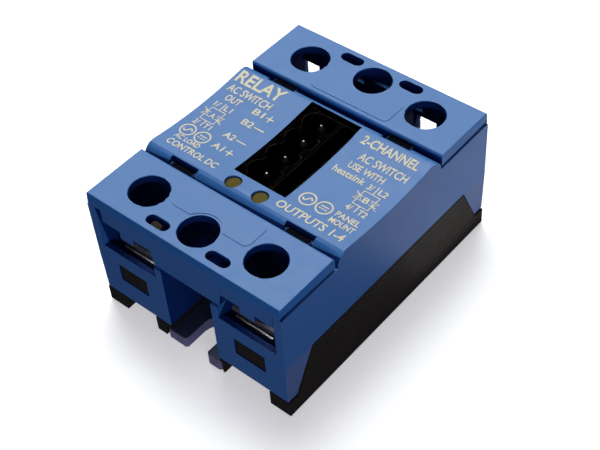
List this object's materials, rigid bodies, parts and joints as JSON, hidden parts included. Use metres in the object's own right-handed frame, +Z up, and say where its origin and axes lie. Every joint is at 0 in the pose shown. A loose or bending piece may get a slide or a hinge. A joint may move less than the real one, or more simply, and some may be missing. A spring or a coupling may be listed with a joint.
{
  "type": "solid state relay",
  "caption": "Dual-channel panel-mount solid state relay: blue body with hinged terminal flaps, screw clamps, a control header and a metal mounting plate.",
  "frame": {"origin": "centre of the metal mounting plate's underside", "axes": "+X across the width, +Y along the length towards terminals 1 and 3, +Z up, away from the heatsink"},
  "size_m": [0.0448, 0.0582, 0.0287],
  "materials": {
    "blue_plastic": "satin, finely textured",
    "black_plastic": "matt, finely textured",
    "header_plastic": "semi-gloss",
    "nickel_plate": "satin",
    "tinned_copper": "satin, tin plated",
    "zinc_steel": "satin, zinc plated",
    "yellow_zinc": "satin, yellow passivated zinc",
    "tinned_pin": "satin, tin plated",
    "amber_lens": "gloss",
    "board_green": "satin",
    "chip_black": "matt",
    "alumina": "matt ceramic",
    "silicon": "satin",
    "resistor_body": "satin lacquer"
  },
  "bodies": {
    "relay": {"housing": "blue_plastic", "base_frame": "black_plastic", "base_plate": "nickel_plate", "power_terminal_1": "tinned_copper", "terminal_nut_1": "zinc_steel", "power_terminal_2": "tinned_copper", "terminal_nut_2": "zinc_steel", "power_terminal_3": "tinned_copper", "terminal_nut_3": "zinc_steel", "power_terminal_4": "tinned_copper", "terminal_nut_4": "zinc_steel", "control_header": "header_plastic", "header_pin_1": "tinned_pin", "header_pin_2": "tinned_pin", "header_pin_3": "tinned_pin", "header_pin_4": "tinned_pin", "led_lens_a": "amber_lens", "led_chip_a": "amber_lens", "optocoupler_a": "chip_black", "input_resistor_a": "resistor_body", "ceramic_substrate_a": "alumina", "led_lens_b": "amber_lens", "led_chip_b": "amber_lens", "optocoupler_b": "chip_black", "input_resistor_b": "resistor_body", "ceramic_substrate_b": "alumina", "control_board": "board_green", "thyristor_1": "silicon", "gate_lead_1": "tinned_copper", "thyristor_2": "silicon", "gate_lead_2": "tinned_copper", "thyristor_3": "silicon", "gate_lead_3": "tinned_copper", "thyristor_4": "silicon", "gate_lead_4": "tinned_copper"},
    "front_cover": {"front_flap": "blue_plastic"},
    "rear_cover": {"rear_flap": "blue_plastic"},
    "clamp_1": {"clamp_plate_1": "zinc_steel"},
    "screw_1": {"terminal_screw_1": "yellow_zinc"},
    "clamp_2": {"clamp_plate_2": "zinc_steel"},
    "screw_2": {"terminal_screw_2": "yellow_zinc"},
    "clamp_3": {"clamp_plate_3": "zinc_steel"},
    "screw_3": {"terminal_screw_3": "yellow_zinc"},
    "clamp_4": {"clamp_plate_4": "zinc_steel"},
    "screw_4": {"terminal_screw_4": "yellow_zinc"}
  },
  "joints": [
    {"name": "front_flap_hinge", "type": "hinge", "parent": "relay", "child": "front_cover", "pos_m": [0, -0.01355, 0.0269], "axis": [-1, 0, 0], "range_deg": [0, 75]},
    {"name": "rear_flap_hinge", "type": "hinge", "parent": "relay", "child": "rear_cover", "pos_m": [0, 0.01355, 0.0269], "axis": [1, 0, 0], "range_deg": [0, 75]},
    {"name": "clamp_slide_1", "type": "slide", "parent": "relay", "child": "clamp_1", "axis": [0, 0, 1], "range_m": [-0.0002, 0.004]},
    {"name": "screw_turn_1", "type": "hinge", "parent": "clamp_1", "child": "screw_1", "pos_m": [-0.0135, 0.022, 0.0175], "axis": [0, 0, 1], "range_deg": [-91, 1801]},
    {"name": "clamp_slide_2", "type": "slide", "parent": "relay", "child": "clamp_2", "axis": [0, 0, 1], "range_m": [-0.0002, 0.004]},
    {"name": "screw_turn_2", "type": "hinge", "parent": "clamp_2", "child": "screw_2", "pos_m": [-0.0135, -0.022, 0.0175], "axis": [0, 0, 1], "range_deg": [-91, 1801]},
    {"name": "clamp_slide_3", "type": "slide", "parent": "relay", "child": "clamp_3", "axis": [0, 0, 1], "range_m": [-0.0002, 0.004]},
    {"name": "screw_turn_3", "type": "hinge", "parent": "clamp_3", "child": "screw_3", "pos_m": [0.0135, 0.022, 0.0175], "axis": [0, 0, 1], "range_deg": [-91, 1801]},
    {"name": "clamp_slide_4", "type": "slide", "parent": "relay", "child": "clamp_4", "axis": [0, 0, 1], "range_m": [-0.0002, 0.004]},
    {"name": "screw_turn_4", "type": "hinge", "parent": "clamp_4", "child": "screw_4", "pos_m": [0.0135, -0.022, 0.0175], "axis": [0, 0, 1], "range_deg": [-91, 1801]}
  ],
  "couplings": [
    {"joint": "screw_turn_1", "follows": "clamp_slide_1", "rad_per_m": 7854},
    {"joint": "screw_turn_2", "follows": "clamp_slide_2", "rad_per_m": 7854},
    {"joint": "screw_turn_3", "follows": "clamp_slide_3", "rad_per_m": 7854},
    {"joint": "screw_turn_4", "follows": "clamp_slide_4", "rad_per_m": 7854}
  ]
}
